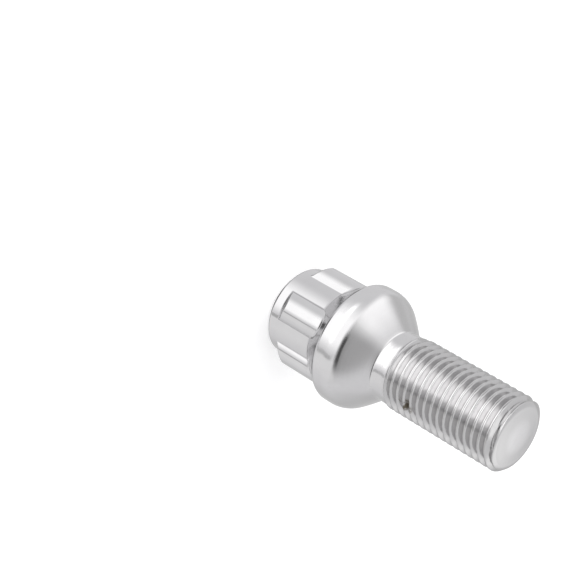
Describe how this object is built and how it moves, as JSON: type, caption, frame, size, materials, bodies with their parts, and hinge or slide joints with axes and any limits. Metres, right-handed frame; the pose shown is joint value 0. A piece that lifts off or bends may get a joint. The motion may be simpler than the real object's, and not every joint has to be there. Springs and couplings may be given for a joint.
{
  "type": "locking wheel bolt",
  "caption": "Chrome locking wheel bolt: a lobed head for a matching key, a round collar with a conical seat that centres the wheel, and a threaded shank that screws into the hub.",
  "frame": {"origin": "centre of the head's end face, on which the bolt stands", "axes": "+Z along the bolt's axis from the head to the tip of the thread; the first key lobe points to -Y"},
  "size_m": [0.0234, 0.0234, 0.052],
  "materials": {
    "chrome": "bright chrome plate on the head and thread, satin on the collar and the tip"
  },
  "bodies": {
    "root": {"locking_bolt": "chrome"}
  },
  "joints": []
}
